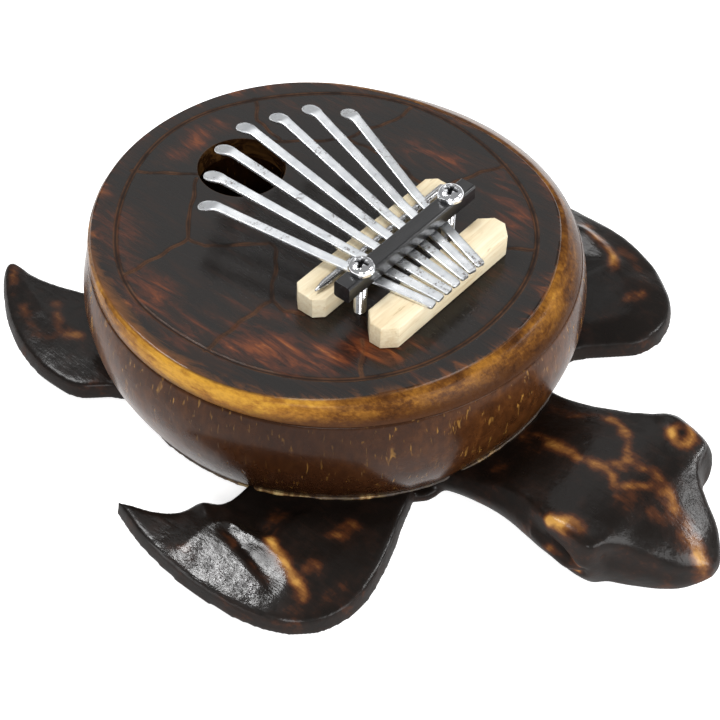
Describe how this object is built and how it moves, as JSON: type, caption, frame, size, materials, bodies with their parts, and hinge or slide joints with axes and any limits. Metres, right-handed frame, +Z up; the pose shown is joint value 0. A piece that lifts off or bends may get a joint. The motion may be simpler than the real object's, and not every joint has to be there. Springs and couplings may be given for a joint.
{
  "type": "mbira",
  "caption": "Turtle-shaped thumb piano: a coconut-shell resonator on a carved wooden turtle, with a fan of steel tines clamped over a wire saddle.",
  "frame": {"origin": "on the table plane, straight under the centre of the soundboard's top face", "axes": "+Z up out of the soundboard, -Y towards the turtle's head, +Y towards the tine tips and tail, +X across the bridges; 1 unit is 1 m"},
  "size_m": [0.1781, 0.218, 0.0618],
  "materials": {
    "carved_wood": "dark burnt wood under satin lacquer",
    "coconut": "polished brown coconut shell with gold flecks",
    "board_wood": "dark stained wood, golden burnt rim, satin lacquer",
    "pale_wood": "bare pale hardwood",
    "wire_steel": "bright drawn wire",
    "black_bar": "gloss black",
    "screw_chrome": "bright plated",
    "plain_steel": "plain zinc-plated",
    "tine_steel": "bright flattened spring steel"
  },
  "bodies": {
    "body": {"turtle_base": "carved_wood", "coconut_shell": "coconut", "soundboard": "board_wood", "front_bridge": "pale_wood", "saddle_wire": "wire_steel", "rear_bridge": "pale_wood", "washer_left": "plain_steel", "washer_right": "plain_steel", "nut_left": "plain_steel", "nut_right": "plain_steel"},
    "clamp": {"pressure_bar": "black_bar"},
    "left_screw": {"screw_left": "screw_chrome"},
    "right_screw": {"screw_right": "screw_chrome"},
    "tine_1_clamped": {"tine_1_tail": "tine_steel"},
    "tine_1_free": {"tine_1_tongue": "tine_steel"},
    "tine_2_clamped": {"tine_2_tail": "tine_steel"},
    "tine_2_free": {"tine_2_tongue": "tine_steel"},
    "tine_3_clamped": {"tine_3_tail": "tine_steel"},
    "tine_3_free": {"tine_3_tongue": "tine_steel"},
    "tine_4_clamped": {"tine_4_tail": "tine_steel"},
    "tine_4_free": {"tine_4_tongue": "tine_steel"},
    "tine_5_clamped": {"tine_5_tail": "tine_steel"},
    "tine_5_free": {"tine_5_tongue": "tine_steel"},
    "tine_6_clamped": {"tine_6_tail": "tine_steel"},
    "tine_6_free": {"tine_6_tongue": "tine_steel"},
    "tine_7_clamped": {"tine_7_tail": "tine_steel"},
    "tine_7_free": {"tine_7_tongue": "tine_steel"}
  },
  "joints": [
    {"name": "clamp_lift", "type": "slide", "parent": "body", "child": "clamp", "axis": [0, 0, 1], "range_m": [0, 0.0006]},
    {"name": "left_screw_turn", "type": "hinge", "parent": "clamp", "child": "left_screw", "pos_m": [-0.0182, -0.0271, 0.059], "axis": [0, 0, 1], "range_deg": [0, 361]},
    {"name": "right_screw_turn", "type": "hinge", "parent": "clamp", "child": "right_screw", "pos_m": [0.0182, -0.0271, 0.059], "axis": [0, 0, 1], "range_deg": [0, 361]},
    {"name": "tine_1_tune", "type": "slide", "parent": "body", "child": "tine_1_clamped", "axis": [-0.1854, 0.9812, 0.054], "range_m": [-0.0025, 0.0025]},
    {"name": "tine_1_pluck", "type": "hinge", "parent": "tine_1_clamped", "child": "tine_1_free", "pos_m": [-0.01637, -0.01654, 0.05409], "axis": [0.9827, 0.1852, 0.0102], "range_deg": [-3, 3], "stiffness_Nm_per_rad": 0.1},
    {"name": "tine_2_tune", "type": "slide", "parent": "body", "child": "tine_2_clamped", "axis": [-0.1053, 0.9929, 0.0546], "range_m": [-0.0025, 0.0025]},
    {"name": "tine_2_pluck", "type": "hinge", "parent": "tine_2_clamped", "child": "tine_2_free", "pos_m": [-0.01077, -0.01651, 0.05409], "axis": [0.9944, 0.1051, 0.0058], "range_deg": [-3, 3], "stiffness_Nm_per_rad": 0.1},
    {"name": "tine_3_tune", "type": "slide", "parent": "body", "child": "tine_3_clamped", "axis": [-0.023, 0.9982, 0.0549], "range_m": [-0.0025, 0.0025]},
    {"name": "tine_3_pluck", "type": "hinge", "parent": "tine_3_clamped", "child": "tine_3_free", "pos_m": [-0.00516, -0.0165, 0.05409], "axis": [0.9997, 0.0229, 0.0013], "range_deg": [-3, 3], "stiffness_Nm_per_rad": 0.1},
    {"name": "tine_4_tune", "type": "slide", "parent": "body", "child": "tine_4_clamped", "axis": [0.0598, 0.9967, 0.0548], "range_m": [-0.0025, 0.0025]},
    {"name": "tine_4_pluck", "type": "hinge", "parent": "tine_4_clamped", "child": "tine_4_free", "pos_m": [0.00045, -0.0165, 0.05409], "axis": [0.9982, -0.0597, -0.0033], "range_deg": [-3, 3], "stiffness_Nm_per_rad": 0.1},
    {"name": "tine_5_tune", "type": "slide", "parent": "body", "child": "tine_5_clamped", "axis": [0.1414, 0.9885, 0.0544], "range_m": [-0.0025, 0.0025]},
    {"name": "tine_5_pluck", "type": "hinge", "parent": "tine_5_clamped", "child": "tine_5_free", "pos_m": [0.00606, -0.01652, 0.05409], "axis": [0.99, -0.1411, -0.0078], "range_deg": [-3, 3], "stiffness_Nm_per_rad": 0.1},
    {"name": "tine_6_tune", "type": "slide", "parent": "body", "child": "tine_6_clamped", "axis": [0.2201, 0.974, 0.0536], "range_m": [-0.0025, 0.0025]},
    {"name": "tine_6_pluck", "type": "hinge", "parent": "tine_6_clamped", "child": "tine_6_free", "pos_m": [0.01166, -0.01656, 0.05408], "axis": [0.9755, -0.2198, -0.0121], "range_deg": [-3, 3], "stiffness_Nm_per_rad": 0.1},
    {"name": "tine_7_tune", "type": "slide", "parent": "body", "child": "tine_7_clamped", "axis": [0.2948, 0.9541, 0.0525], "range_m": [-0.0025, 0.0025]},
    {"name": "tine_7_pluck", "type": "hinge", "parent": "tine_7_clamped", "child": "tine_7_free", "pos_m": [0.01725, -0.01661, 0.05408], "axis": [0.9556, -0.2944, -0.0162], "range_deg": [-3, 3], "stiffness_Nm_per_rad": 0.1}
  ],
  "couplings": [
    {"joint": "left_screw_turn", "follows": "clamp_lift", "rad_per_m": 10472},
    {"joint": "right_screw_turn", "follows": "clamp_lift", "rad_per_m": 10472}
  ]
}
